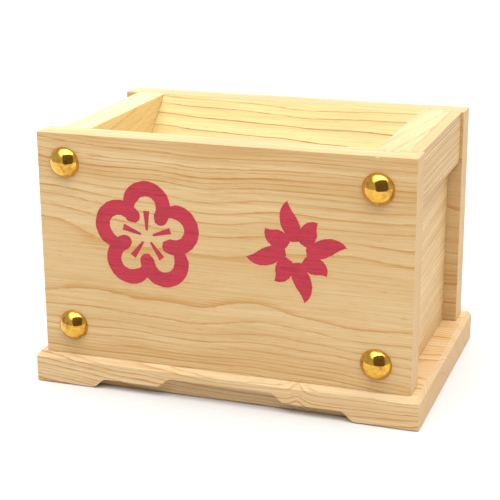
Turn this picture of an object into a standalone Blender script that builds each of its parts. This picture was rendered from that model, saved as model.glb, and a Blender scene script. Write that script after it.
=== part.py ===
"""Wooden donation box with a 45 degree coin slope and a lift-out side panel.

Metres, +Z up. The front faces -Y. The origin is the centre of the footprint's
bounding box, on the surface that the base stands on.
"""

import math

import bpy
import bmesh
from mathutils import Matrix, Vector

MM = 0.001
GAP = 0.3 * MM                     # between pieces that touch
BEYOND = 2.0 * MM                  # how far a cutter reaches out of what it cuts

# Base: one board, bevelled round its top edge, with a shallow stepped relief in front.
BASE_WIDTH = 210.0 * MM
BASE_DEPTH = 137.5 * MM
BASE_THICKNESS = 16.5 * MM
BASE_BEVEL_RUN = 2.0 * MM
BASE_BEVEL_DROP = 2.8 * MM
BASE_FRONT_LEDGE = 3.5 * MM        # base in front of the front board

# Relief: half lengths where each rise starts and ends, and the two heights.
RELIEF_DEPTH = 6.0 * MM
LOWER_RISE = (72.5 * MM, 64.5 * MM)
UPPER_RISE = (35.5 * MM, 27.5 * MM)
LOWER_HEIGHT = 5.0 * MM
UPPER_HEIGHT = 10.0 * MM
RISE_STEPS = 8
DOME_STEPS = 7

# Box: front and back boards run the full width, the sides stand in from their ends.
BODY_WIDTH = 200.0 * MM
BODY_DEPTH = 128.0 * MM
BODY_HEIGHT = 120.5 * MM
BOARD_THICKNESS = 15.0 * MM
SIDE_THICKNESS = 16.0 * MM
SIDE_INSET = 7.5 * MM              # from a front board end to a side's outer face

# Side panel: tongues on its upright edges run in grooves in the front and back boards.
GROOVE_DEPTH = 4.0 * MM
GROOVE_WIDTH = 8.0 * MM
SLIDING_GAP = 0.4 * MM             # all round a tongue, and along the panel's edges
GRIP_HEIGHT = 27.5 * MM
GRIP_THICKNESS = 6.0 * MM

# Coin slope: 45 degrees, from the back board's top edge down to a slot at the front.
SLOPE_THICKNESS = 6.0 * MM
COIN_SLOT = 14.0 * MM
CLEAT_WIDTH = 8.0 * MM
REAR_CLEAT_LEG = 12.0 * MM

# Domed nails in the front board: head and shank, and their hand-set places (x, z).
NAIL_HEAD_RADIUS = 8.5 * MM
NAIL_CROWN = 6.0 * MM
NAIL_SHELL = 0.8 * MM
NAIL_SHANK_RADIUS = 1.2 * MM
NAIL_SHANK_LENGTH = 9.5 * MM
NAIL_POINT = 3.0 * MM
NAIL_PLACES = {
    "top_left": (-84.8 * MM, 121.6 * MM),
    "top_right": (81.2 * MM, 120.8 * MM),
    "bottom_left": (-83.8 * MM, 32.8 * MM),
    "bottom_right": (81.9 * MM, 31.1 * MM),
}

# Countersunk wood screws, driven up through the base into the boards' lower edges.
SCREW_RADIUS = 1.75 * MM
SCREW_HEAD_RADIUS = 3.5 * MM
SCREW_LENGTH = 30.0 * MM
SCREW_POINT = 5.0 * MM
SCREW_SINK = 0.5 * MM              # head below the base's underside
SCREW_RIM = 0.3 * MM               # straight edge of the head
RECESS_LENGTH = 3.6 * MM
RECESS_WIDTH = 0.9 * MM
RECESS_DEPTH = 1.4 * MM
BOARD_SCREW_X = 60.0 * MM
SIDE_SCREW_Y = 25.0 * MM

# Dowels between the fixed side board and the front and back boards.
DOWEL_RADIUS = 3.0 * MM
DOWEL_IN_BOARD = 9.0 * MM
DOWEL_IN_SIDE = 15.0 * MM
DOWEL_CHAMFER = 0.8 * MM
DOWEL_HEIGHTS = {"lower": 55.0 * MM, "upper": 100.0 * MM}

# Places that follow from the sizes above.
OVERALL_DEPTH = NAIL_CROWN - BASE_FRONT_LEDGE + BASE_DEPTH
FRONT_FACE = -OVERALL_DEPTH / 2 + NAIL_CROWN
FRONT_INNER = FRONT_FACE + BOARD_THICKNESS
BACK_FACE = FRONT_FACE + BODY_DEPTH
BACK_INNER = BACK_FACE - BOARD_THICKNESS
BASE_FRONT = FRONT_FACE - BASE_FRONT_LEDGE
BASE_BACK = BASE_FRONT + BASE_DEPTH
RIM = BASE_THICKNESS + BODY_HEIGHT
FLOOR = BASE_THICKNESS + GAP       # underside of everything that stands on the base
SIDE_OUTER = BODY_WIDTH / 2 - SIDE_INSET
SIDE_INNER = SIDE_OUTER - SIDE_THICKNESS
SIDE_MIDDLE = (SIDE_OUTER + SIDE_INNER) / 2
SLOPE_LOW_Y = FRONT_INNER + COIN_SLOT
SLOPE_DROP = SLOPE_THICKNESS * math.sqrt(2)

PINE = (0.72, 0.50, 0.26)
PALE_PINE = (0.80, 0.60, 0.34)
BEECH = (0.60, 0.38, 0.20)
BRASS = (0.80, 0.56, 0.16)
STEEL = (0.55, 0.55, 0.56)


def slope_top(y):
    """Height of the slope's upper face at y."""
    return RIM + (y - BACK_INNER)


def clear_scene():
    for scene_object in list(bpy.data.objects):
        bpy.data.objects.remove(scene_object, do_unlink=True)


def new_collection(name):
    collection = bpy.data.collections.new(name)
    bpy.context.scene.collection.children.link(collection)
    return collection


def make_material(name, colour, roughness, metallic):
    material = bpy.data.materials.new(name)
    material.use_nodes = True
    shader = material.node_tree.nodes["Principled BSDF"]
    shader.inputs["Base Color"].default_value = (*colour, 1.0)
    shader.inputs["Roughness"].default_value = roughness
    shader.inputs["Metallic"].default_value = metallic
    material.diffuse_color = (*colour, 1.0)
    return material


def add_part(name, mesh, location, colour, roughness=0.6, metallic=0.0):
    part = bpy.data.objects.new(name, mesh)
    part.location = location
    mesh.materials.append(make_material(name, colour, roughness, metallic))
    parts.objects.link(part)
    return part


def add_cutter(name, mesh, location):
    cutter = bpy.data.objects.new(name, mesh)
    cutter.location = location
    cutter.hide_render = True
    cutter.display_type = "WIRE"
    cutters.objects.link(cutter)
    return cutter


def cut(part, cutter):
    boolean = part.modifiers.new(cutter.name, "BOOLEAN")
    boolean.operation = "DIFFERENCE"
    boolean.solver = "EXACT"
    boolean.object = cutter


def box_mesh(name, size):
    """Box of the given size, centred on its own origin."""
    shape = bmesh.new()
    bmesh.ops.create_cube(shape, size=1.0)
    bmesh.ops.scale(shape, vec=size, verts=shape.verts)
    mesh = bpy.data.meshes.new(name)
    shape.to_mesh(mesh)
    shape.free()
    return mesh


def box_between(low, high):
    low, high = Vector(low), Vector(high)
    return high - low, (high + low) / 2


def add_box(name, low, high, colour):
    size, centre = box_between(low, high)
    return add_part(name, box_mesh(name, size), centre, colour)


def add_box_cutter(name, low, high):
    size, centre = box_between(low, high)
    return add_cutter(name, box_mesh(name, size), centre)


def prism_mesh(name, outline, thickness, turn):
    """Flat outline, extruded evenly both ways from its plane, then turned."""
    curve = bpy.data.curves.new(name, "CURVE")
    curve.dimensions = "2D"
    curve.fill_mode = "BOTH"
    curve.extrude = thickness / 2
    spline = curve.splines.new("POLY")
    spline.points.add(len(outline) - 1)
    for point, (u, v) in zip(spline.points, outline):
        point.co = (u, v, 0.0, 1.0)
    spline.use_cyclic_u = True
    carrier = bpy.data.objects.new(name, curve)
    bpy.context.scene.collection.objects.link(carrier)
    evaluated = carrier.evaluated_get(bpy.context.evaluated_depsgraph_get())
    mesh = bpy.data.meshes.new_from_object(evaluated)
    mesh.name = name
    bpy.data.objects.remove(carrier)
    shape = bmesh.new()
    shape.from_mesh(mesh)
    bmesh.ops.remove_doubles(shape, verts=shape.verts, dist=0.00001)
    bmesh.ops.transform(shape, matrix=turn, verts=shape.verts)
    bmesh.ops.recalc_face_normals(shape, faces=shape.faces)
    shape.to_mesh(mesh)
    shape.free()
    return mesh


# An outline's (u, v) becomes (x, z), (y, z) or (x, y).
UPRIGHT_X = Matrix.Rotation(math.radians(90), 4, "X")
UPRIGHT_Y = Matrix.Rotation(math.radians(90), 4, "Z") @ UPRIGHT_X
LYING = Matrix.Identity(4)


def turned_mesh(name, profile, segments):
    """Profile of (radius, height) points, run from top to bottom, turned about Z."""
    mesh = bpy.data.meshes.new(name)
    points = [(radius, 0.0, height) for radius, height in profile]
    edges = [(i, i + 1) for i in range(len(points) - 1)]
    mesh.from_pydata(points, edges, [])
    blank = bpy.data.objects.new(name, mesh)
    bpy.context.scene.collection.objects.link(blank)
    screw = blank.modifiers.new("turn", "SCREW")
    screw.steps = segments
    screw.render_steps = segments
    screw.use_merge_vertices = True
    screw.merge_threshold = 0.00001
    evaluated = blank.evaluated_get(bpy.context.evaluated_depsgraph_get())
    turned = bpy.data.meshes.new_from_object(evaluated)
    turned.name = name
    bpy.data.objects.remove(blank)
    bpy.data.meshes.remove(mesh)
    turned.shade_smooth()
    turned.set_sharp_from_angle(angle=math.radians(35))
    return turned


def rise(outer, inner, low, high):
    """S-shaped rise of a relief step, from the outer half length to the inner one."""
    points = []
    for i in range(RISE_STEPS + 1):
        t = i / RISE_STEPS
        blend = (1 - math.cos(math.pi * t)) / 2
        points.append((outer + (inner - outer) * t, low + (high - low) * blend))
    return points


def base_plate():
    """Board whose bevelled top edge is the same on all four sides."""
    height = BASE_THICKNESS - BASE_BEVEL_DROP
    mesh = box_mesh("base_plate", (BASE_WIDTH, BASE_DEPTH, height))
    shape = bmesh.new()
    shape.from_mesh(mesh)
    shape.normal_update()
    top = [face for face in shape.faces if face.normal.z > 0.9]
    bmesh.ops.inset_region(
        shape, faces=top, thickness=BASE_BEVEL_RUN, depth=BASE_BEVEL_DROP, use_even_offset=True)
    shape.to_mesh(mesh)
    shape.free()
    base = add_part("base_plate", mesh, (0, (BASE_FRONT + BASE_BACK) / 2, height / 2), PINE)
    cut(base, relief_cutter())
    return base


def relief_cutter():
    """Stepped, S-edged outline of the relief, reaching below the base's underside."""
    right = [(LOWER_RISE[0], -BEYOND)]
    right += rise(*LOWER_RISE, 0.0, LOWER_HEIGHT)
    right += rise(*UPPER_RISE, LOWER_HEIGHT, UPPER_HEIGHT)
    left = [(-x, z) for x, z in reversed(right)]
    mesh = prism_mesh("relief_cutter", right + left, RELIEF_DEPTH * 2, UPRIGHT_X)
    return add_cutter("relief_cutter", mesh, (0, BASE_FRONT, 0))


def front_and_back_boards():
    half = BODY_WIDTH / 2
    front = add_box("front_board", (-half, FRONT_FACE, FLOOR), (half, FRONT_INNER, RIM), PINE)
    back = add_box("back_board", (-half, BACK_INNER, FLOOR), (half, BACK_FACE, RIM), PINE)
    groove_low = SIDE_MIDDLE - GROOVE_WIDTH / 2
    groove_high = SIDE_MIDDLE + GROOVE_WIDTH / 2
    cut(front, add_box_cutter(
        "front_groove_cutter",
        (groove_low, FRONT_INNER - GROOVE_DEPTH, FLOOR - BEYOND),
        (groove_high, FRONT_INNER + BEYOND, RIM + BEYOND)))
    cut(back, add_box_cutter(
        "back_groove_cutter",
        (groove_low, BACK_INNER - BEYOND, FLOOR - BEYOND),
        (groove_high, BACK_INNER + GROOVE_DEPTH, RIM + BEYOND)))
    return front, back


def left_side_board():
    return add_box(
        "left_side_board",
        (-SIDE_OUTER, FRONT_INNER + GAP, FLOOR),
        (-SIDE_INNER, BACK_INNER - GAP, RIM), PINE)


def sliding_panel():
    """Panel with two tongues, and the grip along its top edge, on one upright slide."""
    middle_y = (FRONT_INNER + BACK_INNER) / 2
    slide = bpy.data.objects.new("side_panel_slide", None)
    slide.location = (SIDE_MIDDLE, middle_y, FLOOR)
    parts.objects.link(slide)

    shoulder = (BACK_INNER - FRONT_INNER) / 2 - SLIDING_GAP
    tongue_end = shoulder + GROOVE_DEPTH
    tongue_half = GROOVE_WIDTH / 2 - SLIDING_GAP
    quarter = [(SIDE_THICKNESS / 2, shoulder), (tongue_half, shoulder), (tongue_half, tongue_end)]
    half = quarter + [(-x, y) for x, y in reversed(quarter)]
    outline = half + [(x, -y) for x, y in reversed(half)]
    mesh = prism_mesh("right_side_panel", outline, RIM - FLOOR, LYING)
    panel = add_part("right_side_panel", mesh, (SIDE_MIDDLE, middle_y, (RIM + FLOOR) / 2), PINE)
    grip = add_box(
        "grip_batten",
        (SIDE_OUTER + GAP, FRONT_INNER + SLIDING_GAP, RIM - GRIP_HEIGHT),
        (SIDE_OUTER + GRIP_THICKNESS, BACK_INNER - SLIDING_GAP, RIM), PINE)
    for piece in (panel, grip):
        piece.location -= slide.location
        piece.parent = slide


def coin_slope():
    top_y = BACK_INNER - GAP
    outline = [
        (SLOPE_LOW_Y, slope_top(SLOPE_LOW_Y) - SLOPE_DROP),
        (top_y, slope_top(top_y) - SLOPE_DROP),
        (top_y, slope_top(top_y)),
        (SLOPE_LOW_Y, slope_top(SLOPE_LOW_Y)),
    ]
    low_x = -SIDE_INNER + GAP
    high_x = SIDE_INNER - SLIDING_GAP
    mesh = prism_mesh("coin_slope", outline, high_x - low_x, UPRIGHT_Y)
    return add_part("coin_slope", mesh, ((low_x + high_x) / 2, 0, 0), PALE_PINE)


def slope_cleats():
    under = SLOPE_DROP + GAP * math.sqrt(2)
    rear_y = BACK_INNER - GAP
    rear = [
        (rear_y - REAR_CLEAT_LEG, slope_top(rear_y - REAR_CLEAT_LEG) - under),
        (rear_y, slope_top(rear_y - REAR_CLEAT_LEG) - under),
        (rear_y, slope_top(rear_y) - under),
    ]
    low_x = -SIDE_INNER + GAP
    high_x = SIDE_INNER - SLIDING_GAP - CLEAT_WIDTH
    mesh = prism_mesh("rear_cleat", rear, high_x - low_x, UPRIGHT_Y)
    add_part("rear_cleat", mesh, ((low_x + high_x) / 2, 0, 0), PALE_PINE)

    cleat_drop = CLEAT_WIDTH * math.sqrt(2)
    top_y = rear_y - REAR_CLEAT_LEG - GAP
    side = [
        (SLOPE_LOW_Y, slope_top(SLOPE_LOW_Y) - under - cleat_drop),
        (top_y, slope_top(top_y) - under - cleat_drop),
        (top_y, slope_top(top_y) - under),
        (SLOPE_LOW_Y, slope_top(SLOPE_LOW_Y) - under),
    ]
    mesh = prism_mesh("left_cleat", side, CLEAT_WIDTH, UPRIGHT_Y)
    add_part("left_cleat", mesh, (low_x + CLEAT_WIDTH / 2, 0, 0), PALE_PINE)


def dome_arc(radius, centre, start, end):
    """Points on a sphere's section, by angle from its pole."""
    angles = [start + (end - start) * i / DOME_STEPS for i in range(DOME_STEPS + 1)]
    return [(radius * math.sin(angle), centre + radius * math.cos(angle)) for angle in angles]


def nail_profile():
    """Domed shell, then the shank inside it and its point."""
    outer = (NAIL_HEAD_RADIUS ** 2 + NAIL_CROWN ** 2) / (2 * NAIL_CROWN)
    inner = outer - NAIL_SHELL
    centre = NAIL_CROWN - outer
    outside = dome_arc(outer, centre, 0.0, math.acos((GAP - centre) / outer))
    inside = dome_arc(
        inner, centre, math.acos((GAP - centre) / inner), math.asin(NAIL_SHANK_RADIUS / inner))
    shank = [(NAIL_SHANK_RADIUS, NAIL_POINT - NAIL_SHANK_LENGTH), (0.0, -NAIL_SHANK_LENGTH)]
    return outside + inside + shank


def domed_nails(front):
    outwards = Matrix.Rotation(math.radians(90), 4, "X")
    mesh = turned_mesh("domed_nail", nail_profile(), 24)
    mesh.transform(outwards)
    radius = NAIL_SHANK_RADIUS + GAP
    end = NAIL_SHANK_LENGTH + GAP
    hole = turned_mesh(
        "nail_hole", [(0.0, BEYOND), (radius, BEYOND), (radius, NAIL_POINT - end), (0.0, -end)], 16)
    hole.transform(outwards)
    for place, (x, z) in NAIL_PLACES.items():
        add_part("domed_nail_" + place, mesh.copy(), (x, FRONT_FACE, z), BRASS, 0.2, 1.0)
        cut(front, add_cutter("nail_hole_" + place, hole, (x, FRONT_FACE, z)))


def screw_profile():
    """Countersunk screw, from its point down to its head."""
    return [
        (0.0, SCREW_SINK + SCREW_LENGTH),
        (SCREW_RADIUS, SCREW_SINK + SCREW_LENGTH - SCREW_POINT),
        (SCREW_RADIUS, SCREW_SINK + SCREW_RIM + SCREW_HEAD_RADIUS - SCREW_RADIUS),
        (SCREW_HEAD_RADIUS, SCREW_SINK + SCREW_RIM),
        (SCREW_HEAD_RADIUS, SCREW_SINK),
        (0.0, SCREW_SINK),
    ]


def screw_hole_profile():
    """The screw's own shape with a gap all round, open at the underside."""
    radius = SCREW_RADIUS + GAP
    head = SCREW_HEAD_RADIUS + GAP
    top = SCREW_SINK + SCREW_LENGTH + GAP
    rim = SCREW_SINK + SCREW_RIM + GAP
    return [(0.0, top), (radius, top - SCREW_POINT), (radius, rim + head - radius), (head, rim),
            (head, -BEYOND), (0.0, -BEYOND)]


def base_screws(base, boards):
    mesh = turned_mesh("base_screw", screw_profile(), 20)
    hole = turned_mesh("screw_hole", screw_hole_profile(), 20)
    front, back, left = boards
    front_y = (FRONT_FACE + FRONT_INNER) / 2
    back_y = (BACK_FACE + BACK_INNER) / 2
    places = {
        "front_left": (-BOARD_SCREW_X, front_y, front),
        "front_right": (BOARD_SCREW_X, front_y, front),
        "back_left": (-BOARD_SCREW_X, back_y, back),
        "back_right": (BOARD_SCREW_X, back_y, back),
        "side_front": (-SIDE_MIDDLE, -SIDE_SCREW_Y, left),
        "side_back": (-SIDE_MIDDLE, SIDE_SCREW_Y, left),
    }
    for place, (x, y, board) in places.items():
        screw = add_part("base_screw_" + place, mesh.copy(), (x, y, 0), STEEL, 0.35, 1.0)
        for axis, size in (
                ("long", (RECESS_LENGTH, RECESS_WIDTH, RECESS_DEPTH * 2)),
                ("cross", (RECESS_WIDTH, RECESS_LENGTH, RECESS_DEPTH * 2))):
            name = "recess_" + place + "_" + axis
            cut(screw, add_cutter(name, box_mesh(name, size), (x, y, SCREW_SINK)))
        socket = add_cutter("screw_hole_" + place, hole, (x, y, 0))
        cut(base, socket)
        cut(board, socket)


def side_dowels(boards):
    front, back, left = boards
    length = DOWEL_IN_BOARD + DOWEL_IN_SIDE
    half = length / 2
    slim = DOWEL_RADIUS - DOWEL_CHAMFER
    shoulder = half - DOWEL_CHAMFER
    dowel = turned_mesh(
        "dowel",
        [(0.0, half), (slim, half), (DOWEL_RADIUS, shoulder), (DOWEL_RADIUS, -shoulder),
         (slim, -half), (0.0, -half)],
        20)
    wide = DOWEL_RADIUS + GAP
    deep = half + GAP
    hole = turned_mesh("dowel_hole", [(0.0, deep), (wide, deep), (wide, -deep), (0.0, -deep)], 20)
    along_y = Matrix.Rotation(math.radians(90), 4, "X")
    dowel.transform(along_y)
    hole.transform(along_y)
    reach = (DOWEL_IN_SIDE - DOWEL_IN_BOARD) / 2
    ends = {"front": (front, FRONT_INNER + reach), "back": (back, BACK_INNER - reach)}
    for end, (board, y) in ends.items():
        for level, z in DOWEL_HEIGHTS.items():
            place = (-SIDE_MIDDLE, y, z)
            add_part("dowel_" + end + "_" + level, dowel.copy(), place, BEECH)
            socket = add_cutter("dowel_hole_" + end + "_" + level, hole, place)
            cut(board, socket)
            cut(left, socket)


clear_scene()
parts = new_collection("donation_box")
cutters = new_collection("cutters")

base = base_plate()
front, back = front_and_back_boards()
left = left_side_board()
sliding_panel()
coin_slope()
slope_cleats()
domed_nails(front)
base_screws(base, (front, back, left))
side_dowels((front, back, left))
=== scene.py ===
"""Looks of the wooden donation box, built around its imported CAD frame.

Metres, +Z up, front facing -Y. The boards, the slope, the batten, the domed nails and the
red motifs are modelled here. The cleats, dowels and screws keep the frame's shapes and only
get their materials here.
"""

import math
import random

import bpy
import bmesh
from mathutils import Matrix, Vector
from mathutils.geometry import delaunay_2d_cdt


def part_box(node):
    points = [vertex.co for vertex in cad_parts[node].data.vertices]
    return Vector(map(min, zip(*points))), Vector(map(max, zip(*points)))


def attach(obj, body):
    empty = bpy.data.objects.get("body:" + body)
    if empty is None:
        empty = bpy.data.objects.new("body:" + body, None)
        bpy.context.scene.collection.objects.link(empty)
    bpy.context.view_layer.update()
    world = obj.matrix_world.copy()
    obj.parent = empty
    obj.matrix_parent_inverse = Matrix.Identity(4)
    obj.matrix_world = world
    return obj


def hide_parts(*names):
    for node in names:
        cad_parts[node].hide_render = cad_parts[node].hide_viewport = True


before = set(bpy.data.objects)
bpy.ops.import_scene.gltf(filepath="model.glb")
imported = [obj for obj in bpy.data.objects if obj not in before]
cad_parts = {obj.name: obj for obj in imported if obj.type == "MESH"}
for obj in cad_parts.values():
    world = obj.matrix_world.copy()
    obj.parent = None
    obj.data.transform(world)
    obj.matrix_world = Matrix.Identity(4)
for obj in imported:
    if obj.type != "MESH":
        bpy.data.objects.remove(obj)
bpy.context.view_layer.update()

MM = 0.001
HAIRLINE = 0.06 * MM               # joint left between two glued boards
SLIDING = 0.15 * MM                # joint left round the lift-out panel
EASED = 0.35 * MM                  # rounding of a board's edges
PANEL_EASED = 0.3 * MM             # the same on the lift-out panel
SLIGHTLY_EASED = 0.25 * MM         # the same on the base and the slope
SHARP = math.radians(32)           # an edge that turns by more than this is rounded
BEYOND = 2.0 * MM                  # how far a cutter reaches out of what it cuts
FIT = 0.1 * MM                     # room round a fixing in its hole


# ---------------------------------------------------------------- places from the frame

base_low, base_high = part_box("base_plate")
front_low, front_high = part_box("front_board")
back_low, back_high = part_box("back_board")
left_low, left_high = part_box("left_side_board")
panel_low, panel_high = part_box("right_side_panel")
batten_low, batten_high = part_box("grip_batten")
slope_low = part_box("coin_slope")[0]

BASE_TOP = base_high.z
RIM = front_high.z
FRONT_FACE = front_low.y
FRONT_INNER = front_high.y
BACK_INNER = back_low.y
SIDE_OUTER = -left_low.x
SIDE_INNER = -left_high.x
SIDE_MIDDLE = (SIDE_OUTER + SIDE_INNER) / 2

BASE_BEVEL_RUN = 2.0 * MM
BASE_BEVEL_DROP = 2.8 * MM
RELIEF_DEPTH = 6.0 * MM
LOWER_RISE = (72.5 * MM, 64.5 * MM)    # outer and inner end of the relief's lower step
UPPER_RISE = (35.5 * MM, 27.5 * MM)    # the same for its upper step
LOWER_HEIGHT = 5.0 * MM
UPPER_HEIGHT = 10.0 * MM
GROOVE_WIDTH = 8.0 * MM
GROOVE_DEPTH = 4.0 * MM
SLOPE_THICKNESS = 6.0 * MM
CHIP_ENDS = (79.5 * MM, 81.5 * MM)     # small nick in the front board's top front edge
CHIP_DEPTH = 0.7 * MM
CHIP_LEAN = math.radians(30)

SCREW_RADIUS = 1.75 * MM
SCREW_POINT = 5.0 * MM                 # length of a screw's point
SCREW_RIM = 0.3 * MM                   # straight edge of its countersunk head
NAIL_SHANK = 1.2 * MM                  # radius
NAIL_LENGTH = 9.5 * MM                 # from the board's face to the point
NAIL_POINT = 3.0 * MM
NAIL_LIP = 0.45 * MM                   # height at which the dome turns into its rounded edge
NAIL_STAND_OFF = 0.05 * MM             # gap between the head and the board
NAIL_WALL = 0.7 * MM                   # thickness of the head at its edge
NAIL_CROWN_WALL = 1.2 * MM             # thickness of the head over its shank


# ---------------------------------------------------------------- mesh helpers

def link(name, mesh):
    piece = bpy.data.objects.new(name, mesh)
    bpy.context.scene.collection.objects.link(piece)
    return piece


def mesh_from(name, shape):
    bmesh.ops.recalc_face_normals(shape, faces=shape.faces)
    mesh = bpy.data.meshes.new(name)
    shape.to_mesh(mesh)
    shape.free()
    return mesh


def box_shape(low, high):
    """Box between two opposite corners."""
    shape = bmesh.new()
    low, high = Vector(low), Vector(high)
    bmesh.ops.create_cube(shape, size=1.0)
    bmesh.ops.scale(shape, vec=high - low, verts=shape.verts)
    bmesh.ops.translate(shape, vec=(high + low) / 2, verts=shape.verts)
    return shape


def prism_shape(outline, start, end, place):
    """Closed outline of (u, v) points, run from start to end.

    place turns (u, v, along) into a 3-D point."""
    shape = bmesh.new()
    rings = [[shape.verts.new(place(u, v, along)) for u, v in outline] for along in (start, end)]
    shape.faces.new(rings[0])
    shape.faces.new(list(reversed(rings[1])))
    for i in range(len(outline)):
        j = (i + 1) % len(outline)
        shape.faces.new((rings[0][j], rings[0][i], rings[1][i], rings[1][j]))
    return shape


def turned_shape(profile, segments):
    """Profile of (radius, height) points turned about Z, with both its ends on the axis."""
    shape = bmesh.new()
    rings = []
    for radius, height in profile:
        if radius == 0.0:
            rings.append([shape.verts.new((0.0, 0.0, height))])
            continue
        turns = [2 * math.pi * i / segments for i in range(segments)]
        rings.append([
            shape.verts.new((radius * math.cos(turn), radius * math.sin(turn), height))
            for turn in turns])
    for upper, lower in zip(rings, rings[1:]):
        for i in range(segments):
            j = (i + 1) % segments
            corners = [upper[i % len(upper)], lower[i % len(lower)],
                       lower[j % len(lower)], upper[j % len(upper)]]
            shape.faces.new(list(dict.fromkeys(corners)))
    return shape


def lay_along_y(shape, centre):
    """Turns a shape's +Z to -Y and moves its origin to centre."""
    bmesh.ops.transform(
        shape, verts=shape.verts,
        matrix=Matrix.Translation(centre) @ Matrix.Rotation(math.radians(90), 4, "X"))


def on_front_face(low, high):
    """Middle of a box's height and width, on the front board's outer face."""
    return Vector(((low.x + high.x) / 2, FRONT_FACE, (low.z + high.z) / 2))


def carve(piece, cutter_shapes):
    """Cuts each shape out of the piece, and leaves no cutter behind."""
    for cutter_shape in cutter_shapes:
        cutter = link("cutter", mesh_from("cutter", cutter_shape))
        boolean = piece.modifiers.new("cut", "BOOLEAN")
        boolean.operation = "DIFFERENCE"
        boolean.solver = "EXACT"
        boolean.object = cutter
        depsgraph = bpy.context.evaluated_depsgraph_get()
        carved = bpy.data.meshes.new_from_object(piece.evaluated_get(depsgraph))
        piece.modifiers.clear()
        piece.data = carved
        bpy.data.objects.remove(cutter)


def ease_edges(piece, width=EASED, segments=3):
    """Rounds every sharp edge a little, as sanding does."""
    piece.data.shade_smooth()
    bevel = piece.modifiers.new("eased edges", "BEVEL")
    bevel.width = width
    bevel.segments = segments
    bevel.limit_method = "ANGLE"
    bevel.angle_limit = SHARP
    bevel.harden_normals = True
    bevel.miter_outer = "MITER_ARC"


def give_material(piece, material):
    piece.data.materials.clear()
    piece.data.materials.append(material)


def finish_piece(piece, material, body, slot, *nodes):
    give_material(piece, material)
    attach(piece, body)
    if nodes:
        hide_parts(*nodes)


# ---------------------------------------------------------------- material helpers

class Tree:
    """Short calls for building one material's nodes."""

    def __init__(self, name):
        self.material = bpy.data.materials.new(name)
        self.material.use_nodes = True
        self.nodes = self.material.node_tree.nodes
        self.links = self.material.node_tree.links
        self.shader = self.nodes["Principled BSDF"]

    def add(self, kind, inputs=(), **settings):
        node = self.nodes.new("ShaderNode" + kind)
        for name, value in settings.items():
            setattr(node, name, value)
        for socket, value in dict(inputs).items():
            self.feed(node.inputs[socket], value)
        return node

    def feed(self, socket, value):
        if isinstance(value, bpy.types.NodeSocket):
            self.links.new(value, socket)
        else:
            socket.default_value = value

    def maths(self, operation, *values, clamp=False):
        node = self.add("Math", enumerate(values), operation=operation, use_clamp=clamp)
        return node.outputs[0]

    def vector(self, operation, *values):
        node = self.add("VectorMath", enumerate(values), operation=operation)
        return node.outputs["Value" if operation == "DOT_PRODUCT" else "Vector"]

    def noise(self, vector, detail=2.0, roughness=0.5, scale=1.0, output="Fac"):
        node = self.add("TexNoise", {
            "Vector": vector, "Scale": scale, "Detail": detail, "Roughness": roughness})
        return node.outputs[output]

    def step(self, value, low, high, to_low=0.0, to_high=1.0):
        """Smooth step of value from low to high."""
        node = self.add("MapRange", {
            "Value": value, "From Min": low, "From Max": high, "To Min": to_low, "To Max": to_high},
            interpolation_type="SMOOTHSTEP")
        return node.outputs["Result"]

    def blend(self, factor, first, second):
        """Colour between first, at 0, and second, at 1."""
        node = self.add("Mix", data_type="RGBA")
        self.feed(node.inputs["Factor"], factor)
        self.feed(node.inputs[6], first)
        self.feed(node.inputs[7], second)
        return node.outputs[2]

    def scaled(self, vector, x, y, z):
        return self.vector("MULTIPLY", vector, (x, y, z))


class WorldTree(Tree):
    """The same calls on a world's nodes."""

    def __init__(self, world):
        self.nodes = world.node_tree.nodes
        self.links = world.node_tree.links


def colour(red, green, blue):
    """A colour from the numbers 0 to 255 that a screen shows."""
    return tuple(((c / 255) ** 2.2) for c in (red, green, blue)) + (1.0,)


# ---------------------------------------------------------------- wood

# Each board is cut from a tree: its growth rings lie round a pith line that runs along the
# board's grain, outside the board. The rings then agree on its faces, edges and end grain.
# Lengths in this section are in millimetres, apart from the depth of the grain's bump.
EARLY = colour(205, 179, 133)      # pale part of a growth ring
LATE = colour(174, 120, 42)        # its dark line
WARM = colour(191, 158, 108)       # pale part, in a board's darker bands
END = colour(186, 156, 116)        # end grain

ALONG_X = Matrix.Identity(3)
ALONG_Y = Matrix.Rotation(math.radians(-90), 3, "Z")
ALONG_SLOPE = Matrix.Rotation(math.radians(-45), 3, "X")

LATEWOOD = 0.8                     # dark end of a growth ring
LINE_EDGE = 0.14                   # distance over which the dark ends
SOFTNESS = 10.0                    # distance over which the ring width changes
SWAY = (11.0, 5.0)                 # long waves of the rings, across and up
RIPPLE = 1.1                       # short waves
TREMOR = 0.9                       # waves as fine as the fibres
GRAIN_DEPTH = 0.1 * MM             # of the bump


def grain_noise(tree, vector, length, width, detail=2.0, roughness=0.5, output="Fac"):
    """Noise with cells of this length along the grain and this width across it."""
    stretched = tree.scaled(vector, 1 / length, 1 / width, 1 / width)
    return tree.noise(stretched, detail, roughness, output=output)


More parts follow.
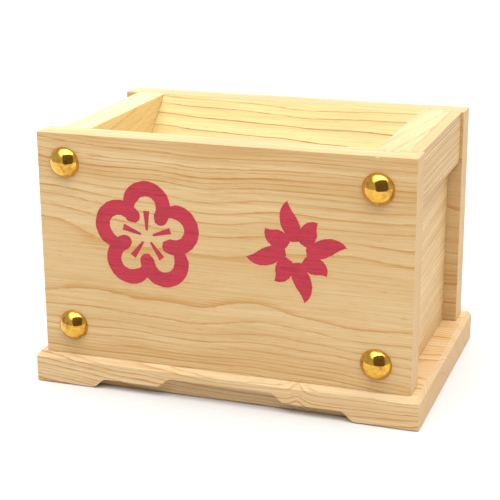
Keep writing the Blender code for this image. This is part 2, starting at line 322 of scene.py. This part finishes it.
def distance_from_pith(tree, vector, shifted, pith, tilt, bow, swell, lean, wave):
    """Distance from the pith line, with the waves that make growth rings irregular."""
    parts = tree.add("SeparateXYZ", {"Vector": vector})
    along = tree.maths("DIVIDE", parts.outputs["X"], 100.0)
    along_squared = tree.maths("MULTIPLY", along, along)
    broad = tree.add("SeparateXYZ", {
        "Vector": grain_noise(tree, shifted, 75, 38, 1.0, output="Color")})
    small = tree.add("SeparateXYZ", {
        "Vector": grain_noise(tree, shifted, 22, 7, output="Color")})
    offsets = []
    for axis, centre, slope, curve, sway in zip("YZ", pith, tilt, bow, SWAY):
        offset = tree.maths("SUBTRACT", parts.outputs[axis], centre)
        offset = tree.maths("MULTIPLY_ADD", along, -slope, offset)
        offset = tree.maths("MULTIPLY_ADD", along_squared, -curve, offset)
        for waves, reach in ((broad, sway), (small, RIPPLE)):
            centred = tree.maths("SUBTRACT", waves.outputs[axis], 0.5)
            offset = tree.maths("MULTIPLY_ADD", centred, reach * wave, offset)
        offsets.append(offset)
    if swell:
        middle, height, half_width = swell
        away = tree.maths("DIVIDE", tree.maths("SUBTRACT", parts.outputs["X"], middle), half_width)
        away = tree.maths("MULTIPLY_ADD", away, away, 1.0)
        raised = tree.maths("DIVIDE", height, tree.maths("MULTIPLY", away, away))
        offsets[1] = tree.maths("SUBTRACT", offsets[1], raised)
    squares = [tree.maths("MULTIPLY", offset, offset) for offset in offsets]
    radius = tree.maths("SQRT", tree.maths("ADD", *squares))
    return tree.maths("MULTIPLY_ADD", offsets[1], -lean, radius)


def count_rings(tree, radius, widths, change):
    """Rings passed on the way out from the pith, and how many there are per millimetre."""
    inner_rate = 1 / widths[0]
    gained = (1 / widths[1] - inner_rate) / 2
    beyond = tree.maths("SUBTRACT", radius, change)
    reach = tree.maths("SQRT", tree.maths("MULTIPLY_ADD", beyond, beyond, SOFTNESS ** 2))
    count = tree.maths("MULTIPLY", tree.maths("ADD", beyond, reach), gained)
    count = tree.maths("MULTIPLY_ADD", radius, inner_rate, count)
    rate = tree.maths("ADD", tree.maths("DIVIDE", beyond, reach), 1.0)
    rate = tree.maths("MULTIPLY_ADD", rate, gained, inner_rate)
    uneven = tree.add("TexNoise", {"W": count, "Scale": 0.45, "Detail": 1.0}, noise_dimensions="1D")
    return tree.maths("MULTIPLY_ADD", uneven.outputs["Fac"], 1.3, count), rate


def ring_line(tree, count, rate, fading):
    """How dark a growth ring is: it darkens slowly, then quickly, and ends at once."""
    within = tree.maths("FRACT", count)
    left_over = tree.maths("DIVIDE", tree.maths("SUBTRACT", 1.0, within), rate)
    edge = tree.step(left_over, 0.0, LINE_EDGE)
    dark = tree.maths("SUBTRACT", 1.0, tree.maths("DIVIDE", left_over, LATEWOOD), clamp=True)
    dark = tree.maths("POWER", dark, 1.2)
    soft = tree.maths("POWER", within, 2.5)
    line = tree.maths("MULTIPLY_ADD", soft, 0.24, tree.maths("MULTIPLY", dark, 0.95))
    ring = tree.maths("FLOOR", count)
    strength = tree.add("TexWhiteNoise", {"W": ring}, noise_dimensions="1D").outputs["Value"]
    strength = tree.step(strength, 0.0, 1.0, 0.4, 1.0)
    strength = tree.maths("MULTIPLY", strength, tree.step(fading, 0.25, 0.65, 0.6, 1.1))
    return tree.maths("MULTIPLY", tree.maths("MULTIPLY", line, edge), strength)


def wood(name, grain, pith, widths, change=60.0, lean=0.0, tilt=(0.0, 0.0), bow=(0.0, 0.0),
         swell=None, seed=0.0, contrast=1.0, early=EARLY, late=LATE, warm=WARM, wave=1.0):
    """Planed softwood.

    pith is where the tree's centre line crosses X' = 0, as (y', z') in the grain's own frame.
    tilt and bow are its slope and curve per 100 mm. widths are the ring widths inside and
    outside the radius change, and lean makes the rings narrower below the pith. swell is a
    place along the grain where the lines rise over a knot: (x', height, half width). wave
    scales the long and short waves, and contrast the dark lines."""
    tree = Tree(name)
    place = tree.add("TexCoord")
    turned = tree.add("Mapping", {
        "Vector": place.outputs["Object"],
        "Rotation": grain.to_euler(),
        "Scale": (1000.0, 1000.0, 1000.0)})
    vector = turned.outputs["Vector"]
    shifted = tree.vector("ADD", vector, (seed * 371.0, seed * 53.0, seed * 29.0))

    fibre = grain_noise(tree, shifted, 45, 0.7, 3.0, 0.6)
    radius = distance_from_pith(tree, vector, shifted, pith, tilt, bow, swell, lean, wave)
    radius = tree.maths("MULTIPLY_ADD", fibre, TREMOR, radius)
    count, rate = count_rings(tree, radius, widths, change)
    line = ring_line(tree, count, rate, grain_noise(tree, shifted, 60, 5, 1.0))

    # Fibres and pores fade with the lines on a faint board, but don't grow on a bold one.
    figure = min(contrast, 1.0)
    pore = tree.step(grain_noise(tree, shifted, 7, 0.4, 1.0), 0.64, 0.76)
    patch = grain_noise(tree, shifted, 90, 28)
    band = tree.add("TexNoise", {"W": count, "Scale": 0.31, "Detail": 1.0}, noise_dimensions="1D")
    patch = tree.maths("MULTIPLY_ADD", band.outputs["Fac"], 0.7, tree.maths("MULTIPLY", patch, 0.5))
    normal = tree.vector(
        "DOT_PRODUCT", place.outputs["Normal"], tuple(grain.transposed().col[0]))
    end = tree.step(tree.maths("ABSOLUTE", normal), 0.55, 0.85)
    speck = tree.step(grain_noise(tree, vector, 3, 0.35), 0.45, 0.7, 0.0, 0.3)

    tone = tree.blend(tree.step(patch, 0.42, 0.78), early, warm)
    tone = tree.blend(tree.maths("MULTIPLY", line, contrast, clamp=True), tone, late)
    tone = tree.blend(tree.step(fibre, 0.3, 0.7, 0.0, 0.34 * figure), tone, late)
    tone = tree.blend(tree.maths("MULTIPLY", pore, 0.4 * figure), tone, late)
    tone = tree.blend(tree.maths("MULTIPLY", end, 0.55), tone, END)
    tone = tree.blend(tree.maths("MULTIPLY", end, speck), tone, late)

    height = tree.maths("MULTIPLY_ADD", line, -0.6, tree.maths("MULTIPLY", fibre, 0.5))
    height = tree.maths("MULTIPLY_ADD", pore, -0.5, height)
    bump = tree.add("Bump", {"Height": height, "Strength": 0.35, "Distance": GRAIN_DEPTH})
    rough = tree.maths("MULTIPLY_ADD", line, -0.1, 0.55)
    rough = tree.maths("MULTIPLY_ADD", end, 0.15, rough)
    tree.feed(tree.shader.inputs["Base Color"], tone)
    tree.feed(tree.shader.inputs["Roughness"], rough)
    tree.feed(tree.shader.inputs["Normal"], bump.outputs["Normal"])
    return tree.material


# ---------------------------------------------------------------- brass, paint, steel

def brass():
    """Polished yellow brass with faint scratches, and brown patches that are partly oxide and
    partly painted reflection.
    """
    tree = Tree("polished_brass")
    place = tree.add("TexCoord").outputs["Object"]
    wobble = tree.noise(place, 1.0, scale=260.0)
    scratch = tree.noise(tree.scaled(place, 900.0, 900.0, 2600.0), 2.0)
    cloud = tree.noise(place, 3.0, scale=500.0)
    # Brown patches: partly oxide on the brass, partly a painted reflection of brown things round
    # the domes.
    oxide_and_painted_reflection = tree.noise(place, 2.0, 0.6, scale=190.0)
    tone = tree.blend(tree.step(cloud, 0.35, 0.75), colour(224, 178, 60), colour(206, 148, 42))
    tone = tree.blend(tree.step(oxide_and_painted_reflection, 0.52, 0.7, 0.0, 0.7), tone, colour(160, 92, 44))
    bump = tree.add("Bump", {"Height": wobble, "Strength": 0.25, "Distance": 0.0004})
    fine = tree.add("Bump", {
        "Height": scratch, "Strength": 0.05, "Distance": 0.00005, "Normal": bump.outputs["Normal"]})
    tree.feed(tree.shader.inputs["Base Color"], tone)
    tree.feed(tree.shader.inputs["Metallic"], 1.0)
    tree.feed(tree.shader.inputs["Coat Weight"], 0.8)
    tree.feed(tree.shader.inputs["Roughness"], tree.step(cloud, 0.3, 0.8, 0.07, 0.16))
    tree.feed(tree.shader.inputs["Normal"], fine.outputs["Normal"])
    return tree.material


def red_paint():
    """Thin crimson paint that sinks a little into the grain below it."""
    tree = Tree("red_paint")
    place = tree.add("TexCoord").outputs["Object"]
    streak = tree.noise(tree.scaled(place, 60.0, 900.0, 1500.0), 3.0, 0.6)
    cloud = tree.noise(place, 3.0, 0.6, scale=220.0)
    tone = tree.blend(tree.step(streak, 0.35, 0.75), colour(178, 37, 58), colour(142, 25, 42))
    tone = tree.blend(tree.step(cloud, 0.4, 0.75, 0.0, 0.45), tone, colour(190, 50, 72))
    bump = tree.add("Bump", {"Height": streak, "Strength": 0.3, "Distance": 0.00008})
    tree.feed(tree.shader.inputs["Base Color"], tone)
    tree.feed(tree.shader.inputs["Roughness"], tree.step(cloud, 0.3, 0.7, 0.5, 0.68))
    tree.feed(tree.shader.inputs["Normal"], bump.outputs["Normal"])
    return tree.material


def steel():
    """Zinc-plated steel."""
    tree = Tree("screw_steel")
    place = tree.add("TexCoord").outputs["Object"]
    spangle = tree.noise(place, 3.0, scale=1500.0)
    tone = tree.blend(spangle, colour(196, 198, 202), colour(150, 152, 158))
    tree.feed(tree.shader.inputs["Base Color"], tone)
    tree.feed(tree.shader.inputs["Metallic"], 1.0)
    tree.feed(tree.shader.inputs["Roughness"], tree.step(spangle, 0.3, 0.7, 0.22, 0.42))
    return tree.material


# ---------------------------------------------------------------- holes

def screw_hole(node):
    """Countersunk hole, open below, round a screw that points up."""
    low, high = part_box(node)
    radius = SCREW_RADIUS + FIT
    head = (high.x - low.x) / 2 + FIT
    shoulder = low.z + SCREW_RIM + FIT
    top = high.z + FIT
    shape = turned_shape([
        (0.0, top), (radius, top - SCREW_POINT), (radius, shoulder + head - radius),
        (head, shoulder), (head, -BEYOND), (0.0, -BEYOND)], 40)
    middle = ((low.x + high.x) / 2, (low.y + high.y) / 2, 0.0)
    bmesh.ops.translate(shape, vec=middle, verts=shape.verts)
    return shape


def dowel_hole(node):
    """Round hole along Y."""
    low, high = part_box(node)
    radius = (high.z - low.z) / 2 + FIT
    half = (high.y - low.y) / 2 + FIT
    shape = turned_shape([(0.0, half), (radius, half), (radius, -half), (0.0, -half)], 40)
    lay_along_y(shape, (low + high) / 2)
    return shape


def nail_hole(node):
    """Hole for a nail's shank, open at the front board's outer face."""
    radius = NAIL_SHANK + FIT
    length = NAIL_LENGTH + FIT
    shape = turned_shape([(0.0, BEYOND), (radius, BEYOND), (radius, -length), (0.0, -length)], 32)
    lay_along_y(shape, on_front_face(*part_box(node)))
    return shape


def holes(*starts):
    """Cutters for the fixings whose node names start with any of these."""
    kinds = ((screw_hole, "base_screw_"), (dowel_hole, "dowel_"), (nail_hole, "domed_nail_"))
    cutters = []
    for hole, kind in kinds:
        cutters += [hole(node) for node in sorted(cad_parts)
                    if node.startswith(kind) and node.startswith(starts)]
    return cutters


# ---------------------------------------------------------------- boards

def rise(outer, inner, low, high, steps=20):
    """S-shaped rise of a relief step, from the outer half length to the inner one."""
    points = []
    for i in range(steps + 1):
        t = i / steps
        eased = (1 - math.cos(math.pi * t)) / 2
        points.append((outer + (inner - outer) * t, low + (high - low) * eased))
    return points


def relief_shape():
    """Cutter for the stepped relief along the base's front, the same left and right."""
    right = [(LOWER_RISE[0], -BEYOND)]
    right += rise(*LOWER_RISE, 0.0, LOWER_HEIGHT)
    right += rise(*UPPER_RISE, LOWER_HEIGHT, UPPER_HEIGHT)
    outline = right + [(-x, z) for x, z in reversed(right)]
    return prism_shape(
        outline, base_low.y - BEYOND, base_low.y + RELIEF_DEPTH, lambda x, z, y: (x, y, z))


def base_board():
    """Base with its bevelled top edge and its relief."""
    height = BASE_TOP - BASE_BEVEL_DROP
    shape = box_shape(base_low, (base_high.x, base_high.y, height))
    shape.normal_update()
    top = [face for face in shape.faces if face.normal.z > 0.9]
    bmesh.ops.inset_region(
        shape, faces=top, thickness=BASE_BEVEL_RUN, depth=BASE_BEVEL_DROP, use_even_offset=True)
    base = link("base_board", mesh_from("base_board", shape))
    carve(base, [relief_shape()] + holes("base_screw_"))
    ease_edges(base, SLIGHTLY_EASED, 2)
    base_wood = wood(
        "base_wood", ALONG_X, pith=(-30.0, -52.0), widths=(1.9, 1.9), seed=3.0,
        tilt=(4.0, 0.0), bow=(0.0, 3.0), swell=(42.0, 2.6, 5.5), contrast=1.5,
        early=colour(209, 185, 144), warm=colour(201, 171, 127))
    finish_piece(base, base_wood, "box", "base_wood", "base_plate")


def groove(inner_face, outwards):
    """Groove for a tongue of the lift-out panel, open at the top and the bottom."""
    low_y, high_y = sorted((inner_face - BEYOND * outwards, inner_face + GROOVE_DEPTH * outwards))
    return box_shape(
        (SIDE_MIDDLE - GROOVE_WIDTH / 2, low_y, -BEYOND),
        (SIDE_MIDDLE + GROOVE_WIDTH / 2, high_y, RIM + BEYOND))


def edge_chip():
    """Cutter for a sliver split off the front board's top front edge."""
    start, end = CHIP_ENDS
    outline = [
        (start - CHIP_DEPTH, -CHIP_DEPTH), (start, CHIP_DEPTH),
        (end, 0.6 * CHIP_DEPTH), (end + 2 * CHIP_DEPTH, -CHIP_DEPTH)]
    sine, cosine = math.sin(CHIP_LEAN), math.cos(CHIP_LEAN)
    return prism_shape(outline, -BEYOND, BEYOND, lambda x, deep, across: (
        x, FRONT_FACE + deep * sine + across * cosine, RIM - deep * cosine + across * sine))


def front_and_back_boards():
    """The two full-width boards, grooved for the lift-out panel. The rounding comes before
    the chip, which would otherwise limit it."""
    bottom = BASE_TOP + HAIRLINE
    front = link("front_board_planed", mesh_from(
        "front_board_planed", box_shape((front_low.x, front_low.y, bottom), front_high)))
    front_holes = holes("base_screw_front", "dowel_front", "domed_nail_")
    carve(front, [groove(FRONT_INNER, -1)] + front_holes)
    ease_edges(front)
    carve(front, [edge_chip()])
    front_wood = wood(
        "front_wood", ALONG_X, pith=(-21.0, 60.0), widths=(6.8, 1.4), change=58.0, lean=0.16,
        seed=1.0, tilt=(0.0, -2.0), bow=(-3.0, 0.0), contrast=1.05, wave=0.8)
    finish_piece(front, front_wood, "box", "body_wood", "front_board")
    back = link("back_board_planed", mesh_from(
        "back_board_planed", box_shape((back_low.x, back_low.y, bottom), back_high)))
    carve(back, [groove(BACK_INNER, 1)] + holes("base_screw_back", "dowel_back"))
    ease_edges(back)
    back_wood = wood(
        "back_wood", ALONG_X, pith=(5.0, 90.0), widths=(6.0, 2.2), change=62.0,
        seed=12.0, tilt=(0.0, 6.0), bow=(3.0, 0.0))
    finish_piece(back, back_wood, "box", "body_wood", "back_board")


def left_side():
    side = link("left_side_planed", mesh_from("left_side_planed", box_shape(
        (left_low.x, FRONT_INNER + HAIRLINE, BASE_TOP + HAIRLINE),
        (left_high.x, BACK_INNER - HAIRLINE, RIM))))
    carve(side, holes("base_screw_side", "dowel_"))
    ease_edges(side)
    # The pale colour is painted light. It stands for the strong light on the board's inner face,
    # much of it thrown off the slope.
    side_wood = wood(
        "left_side_wood", ALONG_Y, pith=(-60.0, 75.0), widths=(2.4, 2.4), seed=4.0, contrast=0.5,
        tilt=(6.0, 8.0), early=colour(242, 214, 146), warm=colour(235, 204, 137), wave=0.5)
    finish_piece(side, side_wood, "box", "body_wood", "left_side_board")


def lift_out_panel():
    """Panel with a tongue on each upright edge, and the batten on its outer face."""
    shoulder = (BACK_INNER - FRONT_INNER) / 2 - SLIDING
    tongue_end = shoulder + GROOVE_DEPTH - SLIDING
    tongue_half = GROOVE_WIDTH / 2 - SLIDING
    half_thickness = (panel_high.x - panel_low.x) / 2
    quarter = [(half_thickness, shoulder), (tongue_half, shoulder), (tongue_half, tongue_end)]
    half = quarter + [(-x, y) for x, y in reversed(quarter)]
    outline = half + [(x, -y) for x, y in reversed(half)]
    middle_y = (BACK_INNER + FRONT_INNER) / 2
    panel = link("side_panel_planed", mesh_from("side_panel_planed", prism_shape(
        outline, BASE_TOP + HAIRLINE, RIM,
        lambda x, y, z: (SIDE_MIDDLE + x, middle_y + y, z))))
    ease_edges(panel, PANEL_EASED)
    panel_wood = wood(
        "side_panel_wood", ALONG_Y, pith=(16.0, -60.0), widths=(2.2, 2.2),
        seed=5.0, tilt=(3.0, 9.0), wave=0.4)
    finish_piece(panel, panel_wood, "side_panel", "body_wood", "right_side_panel")
    batten = link("batten_planed", mesh_from("batten_planed", box_shape(
        (panel_high.x + HAIRLINE, FRONT_INNER + SLIDING, batten_low.z),
        (batten_high.x, BACK_INNER - SLIDING, RIM))))
    ease_edges(batten)
    batten_wood = wood(
        "batten_wood", ALONG_Y, pith=(-97.0, -59.7), widths=(1.8, 1.8), seed=6.0, tilt=(0.0, 0.4),
        contrast=1.9, early=colour(197, 168, 113), late=colour(146, 98, 38),
        warm=colour(192, 160, 104), wave=0.05)
    finish_piece(batten, batten_wood, "side_panel", "body_wood", "grip_batten")


def slope_board():
    """Board at 45 degrees, with its upper face through the back board's top inner edge."""
    upright_thickness = SLOPE_THICKNESS * math.sqrt(2)

    def top(y):
        return RIM + y - BACK_INNER

    low_y, high_y = slope_low.y, BACK_INNER - HAIRLINE
    outline = [
        (low_y, top(low_y) - upright_thickness), (high_y, top(high_y) - upright_thickness),
        (high_y, top(high_y)), (low_y, top(low_y))]
    slope = link("slope_planed", mesh_from("slope_planed", prism_shape(
        outline, -SIDE_INNER + HAIRLINE, SIDE_INNER - 2 * SLIDING,
        lambda y, z, x: (x, y, z))))
    ease_edges(slope, SLIGHTLY_EASED)
    slope_wood = wood(
        "slope_wood", ALONG_SLOPE, pith=(-160.0, 40.0), widths=(7.6, 7.6), seed=7.0,
        tilt=(-3.5, 0.0), contrast=1.9, early=colour(210, 196, 134), late=colour(150, 100, 36),
        warm=colour(203, 183, 116))
    finish_piece(slope, slope_wood, "box", "inner_wood", "coin_slope")


def cleats():
    cleat_wood = wood(
        "cleat_wood", ALONG_X, pith=(20.0, 40.0), widths=(2.6, 2.6), seed=8.0)
    for node in ("rear_cleat", "left_cleat"):
        give_material(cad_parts[node], cleat_wood)


# ---------------------------------------------------------------- nails, screws, dowels

def nail_shape(radius, crown, steps=22):
    """Domed head with a small rounded lip, hollow behind, on a pointed shank. Crown up +Z."""
    sphere = (radius ** 2 + crown ** 2) / (2 * crown)
    centre = crown - sphere
    last = math.acos((NAIL_LIP - centre) / sphere)
    turns = [last * i / steps for i in range(steps + 1)]
    outside = [(sphere * math.sin(turn), centre + sphere * math.cos(turn)) for turn in turns]
    edge_radius, edge_height = outside[-1]
    rounded = [(edge_radius + 0.06 * MM, edge_height - 0.12 * MM),
               (edge_radius + 0.05 * MM, edge_height - 0.3 * MM),
               (edge_radius - 0.1 * MM, NAIL_STAND_OFF)]
    inside = [(edge_radius - NAIL_WALL, NAIL_STAND_OFF), (NAIL_SHANK, crown - NAIL_CROWN_WALL)]
    point = [(NAIL_SHANK, NAIL_POINT - NAIL_LENGTH), (0.0, -NAIL_LENGTH)]
    return turned_shape(outside + rounded + inside + point, 96)


def domed_nails(material):
    for place in ("top_left", "top_right", "bottom_left", "bottom_right"):
        node = "domed_nail_" + place
        low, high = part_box(node)
        shape = nail_shape((high.x - low.x) / 2, FRONT_FACE - low.y)
        lay_along_y(shape, on_front_face(low, high))
        nail = link("brass_" + place, mesh_from("brass_" + place, shape))
        nail.data.shade_smooth()
        finish_piece(nail, material, "box", "polished_brass", node)


def plain_fixings():
    """Materials of the dowels and screws."""
    beech = wood(
        "dowel_wood", ALONG_Y, pith=(20.0, 0.0), widths=(1.3, 1.3), seed=9.0,
        early=colour(205, 165, 115), late=colour(165, 120, 78), warm=colour(196, 152, 104))
    zinc = steel()
    for name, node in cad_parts.items():
        if name.startswith("dowel_"):
            give_material(node, beech)
        if name.startswith("base_screw_"):
            give_material(node, zinc)


# ---------------------------------------------------------------- red motifs

PAINT_LIFT = 0.01 * MM             # gap between the paint and the board
PAINT_THICKNESS = 0.05 * MM
BLOSSOM_SIZE = 28.5 * MM
BLOSSOM_CENTRE = (-39.7 * MM, 86.0 * MM)
ROSETTE_SIZE = 27.0 * MM
ROSETTE_CENTRE = (40.2 * MM, 85.4 * MM)
LEAST_LEAF_WIDTH = 0.4 * MM


def stroke_outline(path, width, ragged, wobble, steps=44):
    """Outline of one brush stroke. path and width are functions of t from 0 to 1."""
    sides = ([], [])
    for i in range(steps + 1):
        t = i / steps
        here = Vector(path(t))
        ahead = Vector(path(min(t + 0.01, 1.0))) - Vector(path(max(t - 0.01, 0.0)))
        across = Vector((-ahead.y, ahead.x)).normalized()
        for side, sign in zip(sides, (1, -1)):
            rough = 1 + ragged * (wobble.random() - 0.5)
            side.append(here + across * sign * width(t) * rough / 2)
    return sides[1] + list(reversed(sides[0]))


def brushed(t, blunt=0.10, tail=0.35):
    """Share of a stroke's full width: it lands quickly and lifts off slowly."""
    return min(1.0, t / blunt) ** 0.5 * min(1.0, (1.0 - t) / tail) ** 0.8 + 0.04


def motif(name, strokes, centre):
    """Thin film of paint on the front board: the strokes' outlines, merged into one sheet."""
    points = []
    loops = []
    for outline in strokes:
        loops.append(list(range(len(points), len(points) + len(outline))))
        points += outline
    merged, _, triangles, _, _, painted = delaunay_2d_cdt(points, [], loops, 1, 1e-7)
    shape = bmesh.new()
    corners = [shape.verts.new((centre[0] + p.x, FRONT_FACE - PAINT_LIFT, centre[1] + p.y))
               for p in merged]
    faces = [shape.faces.new([corners[i] for i in triangle])
             for triangle, strokes_over in zip(triangles, painted) if strokes_over]
    bmesh.ops.delete(shape, geom=[v for v in shape.verts if not v.link_faces], context="VERTS")
    film = bmesh.ops.extrude_face_region(shape, geom=faces)
    moved = [item for item in film["geom"] if isinstance(item, bmesh.types.BMVert)]
    bmesh.ops.translate(shape, vec=(0.0, -PAINT_THICKNESS, 0.0), verts=moved)
    return link(name, mesh_from(name, shape))


def polar(radius, angle):
    return Vector((radius * math.cos(angle), radius * math.sin(angle)))


def blossom_strokes(size, wobble):
    """Five brushed petals round five short stamens."""
    strokes = []
    for i in range(5):
        middle = math.radians(90 + 72 * i)
        centre = polar(size * 0.56, middle)

        def petal(t, centre=centre, middle=middle):
            return centre + polar(size * 0.33, middle + math.radians(-150 + 300 * t))

        def stamen(t, middle=middle):
            return polar(size * (0.12 + 0.36 * t), middle)

        strokes.append(stroke_outline(
            petal, lambda t: size * 0.27 * brushed(t, 0.06, 0.3), 0.07, wobble))
        strokes.append(stroke_outline(
            stamen, lambda t: size * 0.12 * (0.35 + 0.65 * t), 0.08, wobble))
    return strokes


def rosette_strokes(size, wobble):
    """Eight tapered leaves, every other one short."""
    def width(t):
        swelling = math.sin(math.pi * min(1.0, 0.12 + t * 0.9))
        return size * 0.33 * swelling ** 0.8 + LEAST_LEAF_WIDTH

    strokes = []
    for i in range(8):
        middle = math.radians(90 + 45 * i)
        reach = size * (0.98 if i % 2 == 0 else 0.72)

        def leaf(t, middle=middle, reach=reach):
            return polar(size * 0.2 + (reach - size * 0.2) * t, middle + 0.25 * math.sin(2.4 * t))

        strokes.append(stroke_outline(leaf, width, 0.07, wobble))
    return strokes


def motifs():
    paint = red_paint()
    wobble = random.Random(7)
    blossom = motif("red_blossom", blossom_strokes(BLOSSOM_SIZE, wobble), BLOSSOM_CENTRE)
    rosette = motif("red_rosette", rosette_strokes(ROSETTE_SIZE, wobble), ROSETTE_CENTRE)
    for piece in (blossom, rosette):
        finish_piece(piece, paint, "box", "red_paint")


# ---------------------------------------------------------------- stage

OVERHEAD = 4.6                     # strength of the soft box
OVERHEAD_TOWARDS = (0.08, -0.17, 0.97)
WALL = 1.9                         # strength of the white wall behind
AMBIENT = 0.58                     # strength of everything else
FLOOR_HALF_SIDE = 8.0
FLOOR_ALBEDO = 0.58
FLOOR_CLOUD = 0.02                 # how much paler the floor is in places
FLOOR_GAP = 0.55 * MM              # the shadow line under a board that isn't quite flat
DOORWAY_TOWARDS = (0.43, -0.75, 0.5)
DOORWAY_DISTANCE = 0.75
DOORWAY_HALF_SIDE = 0.5
CAMERA_PLACE = (0.2344, -0.68168, 0.2899)
CAMERA_LENS = 99.04
CAMERA_SENSOR = 36.0


def grey(level):
    return (level, level, level, 1.0)


def floor():
    """Plain pale paper."""
    shape = bmesh.new()
    bmesh.ops.create_grid(shape, x_segments=1, y_segments=1, size=FLOOR_HALF_SIDE)
    bmesh.ops.translate(shape, vec=(0.0, 0.0, base_low.z - FLOOR_GAP), verts=shape.verts)
    plane = link("floor", mesh_from("floor", shape))
    tree = Tree("floor_paper")
    place = tree.add("TexCoord").outputs["Object"]
    cloud = tree.noise(place, 2.0, scale=3.0)
    tree.feed(tree.shader.inputs["Base Color"], tree.blend(
        cloud, grey(FLOOR_ALBEDO), grey(FLOOR_ALBEDO + FLOOR_CLOUD)))
    tree.feed(tree.shader.inputs["Roughness"], 0.9)
    plane.data.materials.append(tree.material)


def sky():
    """Light tent: a wide soft box overhead, a lit white wall behind, dimmer sides and front.
    Seen directly, all of it is at least as bright as white paper."""
    world = bpy.data.worlds.new("studio")
    world.use_nodes = True
    tree = WorldTree(world)
    place = tree.add("TexCoord").outputs["Generated"]
    parts = tree.add("SeparateXYZ", {"Vector": place}).outputs
    towards = tuple(Vector(OVERHEAD_TOWARDS).normalized())
    overhead = tree.vector("DOT_PRODUCT", place, towards)
    overhead = tree.step(overhead, 0.65, 0.97, AMBIENT, AMBIENT + OVERHEAD)
    low = tree.step(parts["Z"], 0.3, 0.7, 1.0, 0.0)
    behind = tree.maths("MULTIPLY", tree.step(parts["Y"], 0.1, 0.8, 0.0, WALL), low)
    light = tree.maths("ADD", overhead, behind)
    seen = tree.add("LightPath").outputs["Is Camera Ray"]
    light = tree.maths("MAXIMUM", light, seen)
    tree.feed(tree.nodes["Background"].inputs["Strength"], light)
    tree.nodes["Background"].inputs["Color"].default_value = (1.0, 0.99, 0.975, 1.0)
    bpy.context.scene.world = world


def dark_doorway():
    """The dim room behind the camera, which only the polished brass shows."""
    shape = bmesh.new()
    bmesh.ops.create_grid(shape, x_segments=1, y_segments=1, size=DOORWAY_HALF_SIDE)
    doorway = link("dark_doorway", mesh_from("dark_doorway", shape))
    towards = Vector(DOORWAY_TOWARDS).normalized()
    doorway.location = towards * DOORWAY_DISTANCE
    doorway.rotation_euler = towards.to_track_quat("Z", "Y").to_euler()
    tree = Tree("doorway_dark")
    place = tree.add("TexCoord").outputs["Object"]
    tree.feed(tree.shader.inputs["Base Color"], tree.blend(
        tree.noise(place, 2.0, scale=4.0), (0.07, 0.05, 0.06, 1.0), (0.14, 0.10, 0.12, 1.0)))
    tree.feed(tree.shader.inputs["Roughness"], 1.0)
    doorway.data.materials.append(tree.material)
    doorway.visible_camera = False
    doorway.visible_diffuse = False
    doorway.visible_shadow = False


def camera():
    """Slightly from the right and above, as a product picture is taken."""
    yaw, pitch, roll = 0.3396, 0.3041, -0.0074
    level = Vector((math.cos(yaw), math.sin(yaw), 0.0))
    ahead = Vector((-math.sin(yaw), math.cos(yaw), 0.0))
    forward = ahead * math.cos(pitch) - Vector((0.0, 0.0, math.sin(pitch)))
    upright = level.cross(forward)
    right = level * math.cos(roll) + upright * math.sin(roll)
    up = upright * math.cos(roll) - level * math.sin(roll)
    data = bpy.data.cameras.new("camera")
    data.lens = CAMERA_LENS
    data.sensor_width = CAMERA_SENSOR
    eye = bpy.data.objects.new("camera", data)
    bpy.context.scene.collection.objects.link(eye)
    turned = Matrix((right, up, -forward)).transposed().to_4x4()
    eye.matrix_world = Matrix.Translation(CAMERA_PLACE) @ turned
    bpy.context.scene.camera = eye


# ---------------------------------------------------------------- build

camera()
floor()
sky()
dark_doorway()
base_board()
front_and_back_boards()
left_side()
lift_out_panel()
slope_board()
cleats()
domed_nails(brass())
plain_fixings()
motifs()
bpy.context.scene.view_settings.view_transform = "Standard"
